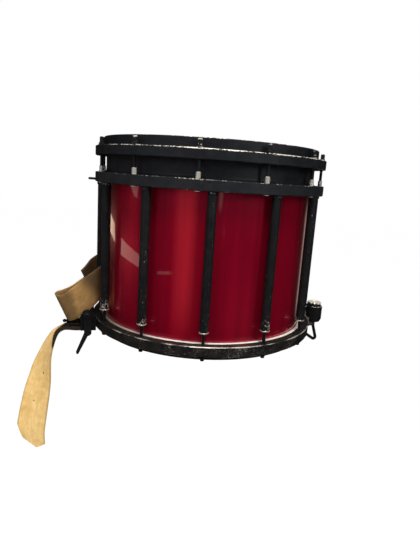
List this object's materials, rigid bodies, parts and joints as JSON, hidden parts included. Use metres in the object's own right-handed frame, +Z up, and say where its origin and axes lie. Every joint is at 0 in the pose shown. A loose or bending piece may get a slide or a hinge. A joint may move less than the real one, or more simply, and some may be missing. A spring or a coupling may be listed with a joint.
{
  "type": "marching snare drum",
  "caption": "Deep marching snare drum: floating red shell in a black frame of hoops, edge ring and tubes, with throw-off strainer, snare butt, guard and a leather strap.",
  "frame": {"origin": "on the drum's axis, in the plane of the bottom rim's edge", "axes": "+Z up along the drum's axis, X to the right as the picture shows it, -Y towards the viewer"},
  "size_m": [0.5439, 0.3914, 0.5201],
  "materials": {
    "shell": "high-gloss candy red lacquer over the wooden shell",
    "black_hardware": "satin black coat on aluminium, worn to bright metal on the edges",
    "black_steel": "satin black plated steel",
    "nickel": "dull nickel plate",
    "steel": "plain bright steel",
    "brass": "dull rivet brass",
    "grey_casting": "grey bare casting, dull",
    "batter_head": "woven head, dull",
    "snare_head": "clear to milky film, satin",
    "white_hoop": "white coat, satin",
    "strap_leather": "undyed tan leather, dull, creased"
  },
  "bodies": {
    "drum": {"shell": "shell", "edge_ring": "black_hardware", "top_hoop": "black_hardware", "batter_film": "batter_head", "batter_flesh_hoop": "steel", "top_washers": "black_steel", "receiver_inserts": "nickel", "frame_tubes": "black_hardware", "tube_screws": "black_steel", "tube_bushes": "nickel", "bottom_washers": "black_steel", "bottom_hoop": "black_hardware", "snare_film": "snare_head", "snare_flesh_hoop": "white_hoop", "strainer_bracket": "black_hardware", "strainer_screws": "black_steel", "lever_pin": "steel", "butt_bracket": "grey_casting", "butt_screws": "black_steel", "butt_housing": "black_hardware", "snare_guard": "black_steel", "ring_stud": "steel", "strap_loop": "strap_leather", "strap_rivets": "brass", "strap_tail": "strap_leather", "strap_screws": "steel"},
    "throw_lever": {"strainer_lever": "black_hardware"},
    "height_wheel": {"butt_wheel": "nickel"},
    "lifter": {"butt_lifter": "grey_casting"},
    "snare_bed": {"snare_carriage": "black_steel", "carriage_plate": "steel", "snare_strands": "steel", "butt_end_block": "steel"},
    "tension_knob": {"snare_adjuster": "black_steel"},
    "top_rod_01_turns": {"top_rod_01": "black_steel"},
    "top_rod_02_turns": {"top_rod_02": "black_steel"},
    "top_rod_03_turns": {"top_rod_03": "black_steel"},
    "top_rod_04_turns": {"top_rod_04": "black_steel"},
    "top_rod_05_turns": {"top_rod_05": "black_steel"},
    "top_rod_06_turns": {"top_rod_06": "black_steel"},
    "top_rod_07_turns": {"top_rod_07": "black_steel"},
    "top_rod_08_turns": {"top_rod_08": "black_steel"},
    "top_rod_09_turns": {"top_rod_09": "black_steel"},
    "top_rod_10_turns": {"top_rod_10": "black_steel"},
    "top_rod_11_turns": {"top_rod_11": "black_steel"},
    "top_rod_12_turns": {"top_rod_12": "black_steel"},
    "bottom_rod_01_turns": {"bottom_rod_01": "black_steel"},
    "bottom_rod_02_turns": {"bottom_rod_02": "black_steel"},
    "bottom_rod_03_turns": {"bottom_rod_03": "black_steel"},
    "bottom_rod_04_turns": {"bottom_rod_04": "black_steel"},
    "bottom_rod_05_turns": {"bottom_rod_05": "black_steel"},
    "bottom_rod_06_turns": {"bottom_rod_06": "black_steel"},
    "bottom_rod_07_turns": {"bottom_rod_07": "black_steel"},
    "bottom_rod_08_turns": {"bottom_rod_08": "black_steel"},
    "bottom_rod_09_turns": {"bottom_rod_09": "black_steel"},
    "bottom_rod_10_turns": {"bottom_rod_10": "black_steel"},
    "bottom_rod_11_turns": {"bottom_rod_11": "black_steel"},
    "bottom_rod_12_turns": {"bottom_rod_12": "black_steel"}
  },
  "joints": [
    {"name": "throw_lever_pivot", "type": "hinge", "parent": "drum", "child": "throw_lever", "pos_m": [-0.18906, -0.09303, 0.0305], "axis": [-0.284, 0.9588, 0], "range_deg": [0, 100]},
    {"name": "height_wheel_turn", "type": "hinge", "parent": "drum", "child": "height_wheel", "pos_m": [0.2234, 0.06618, 0.036], "axis": [0, 0, 1], "range_deg": [-360, 0]},
    {"name": "lifter_slide", "type": "slide", "parent": "drum", "child": "lifter", "axis": [0, 0, 1], "range_m": [-0.001, 0]},
    {"name": "snare_bed_drop", "type": "hinge", "parent": "lifter", "child": "snare_bed", "pos_m": [0.20039, 0.05936, 0.0075], "axis": [0.284, -0.9588, 0], "range_deg": [0, 0.21]},
    {"name": "tension_knob_turn", "type": "hinge", "parent": "snare_bed", "child": "tension_knob", "pos_m": [-0.22053, -0.06532, 0.01145], "axis": [-0.9588, -0.284, 0], "continuous": true},
    {"name": "top_rod_01_turn", "type": "hinge", "parent": "drum", "child": "top_rod_01_turns", "pos_m": [-0.10898, -0.15564, 0.3], "axis": [0, 0, 1], "continuous": true},
    {"name": "top_rod_02_turn", "type": "hinge", "parent": "drum", "child": "top_rod_02_turns", "pos_m": [-0.01656, -0.18928, 0.3], "axis": [0, 0, 1], "continuous": true},
    {"name": "top_rod_03_turn", "type": "hinge", "parent": "drum", "child": "top_rod_03_turns", "pos_m": [0.0803, -0.1722, 0.3], "axis": [0, 0, 1], "continuous": true},
    {"name": "top_rod_04_turn", "type": "hinge", "parent": "drum", "child": "top_rod_04_turns", "pos_m": [0.15564, -0.10898, 0.3], "axis": [0, 0, 1], "continuous": true},
    {"name": "top_rod_05_turn", "type": "hinge", "parent": "drum", "child": "top_rod_05_turns", "pos_m": [0.18928, -0.01656, 0.3], "axis": [0, 0, 1], "continuous": true},
    {"name": "top_rod_06_turn", "type": "hinge", "parent": "drum", "child": "top_rod_06_turns", "pos_m": [0.1722, 0.0803, 0.3], "axis": [0, 0, 1], "continuous": true},
    {"name": "top_rod_07_turn", "type": "hinge", "parent": "drum", "child": "top_rod_07_turns", "pos_m": [0.10898, 0.15564, 0.3], "axis": [0, 0, 1], "continuous": true},
    {"name": "top_rod_08_turn", "type": "hinge", "parent": "drum", "child": "top_rod_08_turns", "pos_m": [0.01656, 0.18928, 0.3], "axis": [0, 0, 1], "continuous": true},
    {"name": "top_rod_09_turn", "type": "hinge", "parent": "drum", "child": "top_rod_09_turns", "pos_m": [-0.0803, 0.1722, 0.3], "axis": [0, 0, 1], "continuous": true},
    {"name": "top_rod_10_turn", "type": "hinge", "parent": "drum", "child": "top_rod_10_turns", "pos_m": [-0.15564, 0.10898, 0.3], "axis": [0, 0, 1], "continuous": true},
    {"name": "top_rod_11_turn", "type": "hinge", "parent": "drum", "child": "top_rod_11_turns", "pos_m": [-0.18928, 0.01656, 0.3], "axis": [0, 0, 1], "continuous": true},
    {"name": "top_rod_12_turn", "type": "hinge", "parent": "drum", "child": "top_rod_12_turns", "pos_m": [-0.1722, -0.0803, 0.3], "axis": [0, 0, 1], "continuous": true},
    {"name": "bottom_rod_01_turn", "type": "hinge", "parent": "drum", "child": "bottom_rod_01_turns", "pos_m": [-0.08947, -0.16478, 0.02], "axis": [0, 0, 1], "continuous": true},
    {"name": "bottom_rod_02_turn", "type": "hinge", "parent": "drum", "child": "bottom_rod_02_turns", "pos_m": [0.00491, -0.18744, 0.02], "axis": [0, 0, 1], "continuous": true},
    {"name": "bottom_rod_03_turn", "type": "hinge", "parent": "drum", "child": "bottom_rod_03_turns", "pos_m": [0.09797, -0.15987, 0.02], "axis": [0, 0, 1], "continuous": true},
    {"name": "bottom_rod_04_turn", "type": "hinge", "parent": "drum", "child": "bottom_rod_04_turns", "pos_m": [0.16478, -0.08947, 0.02], "axis": [0, 0, 1], "continuous": true},
    {"name": "bottom_rod_05_turn", "type": "hinge", "parent": "drum", "child": "bottom_rod_05_turns", "pos_m": [0.18744, 0.00491, 0.02], "axis": [0, 0, 1], "continuous": true},
    {"name": "bottom_rod_06_turn", "type": "hinge", "parent": "drum", "child": "bottom_rod_06_turns", "pos_m": [0.15987, 0.09797, 0.02], "axis": [0, 0, 1], "continuous": true},
    {"name": "bottom_rod_07_turn", "type": "hinge", "parent": "drum", "child": "bottom_rod_07_turns", "pos_m": [0.08947, 0.16478, 0.02], "axis": [0, 0, 1], "continuous": true},
    {"name": "bottom_rod_08_turn", "type": "hinge", "parent": "drum", "child": "bottom_rod_08_turns", "pos_m": [-0.00491, 0.18744, 0.02], "axis": [0, 0, 1], "continuous": true},
    {"name": "bottom_rod_09_turn", "type": "hinge", "parent": "drum", "child": "bottom_rod_09_turns", "pos_m": [-0.09797, 0.15987, 0.02], "axis": [0, 0, 1], "continuous": true},
    {"name": "bottom_rod_10_turn", "type": "hinge", "parent": "drum", "child": "bottom_rod_10_turns", "pos_m": [-0.16478, 0.08947, 0.02], "axis": [0, 0, 1], "continuous": true},
    {"name": "bottom_rod_11_turn", "type": "hinge", "parent": "drum", "child": "bottom_rod_11_turns", "pos_m": [-0.18744, -0.00491, 0.02], "axis": [0, 0, 1], "continuous": true},
    {"name": "bottom_rod_12_turn", "type": "hinge", "parent": "drum", "child": "bottom_rod_12_turns", "pos_m": [-0.15987, -0.09797, 0.02], "axis": [0, 0, 1], "continuous": true}
  ],
  "couplings": [
    {"joint": "height_wheel_turn", "follows": "lifter_slide", "rad_per_m": 6276.9},
    {"joint": "throw_lever_pivot", "follows": "snare_bed_drop", "ratio": 475.71}
  ]
}
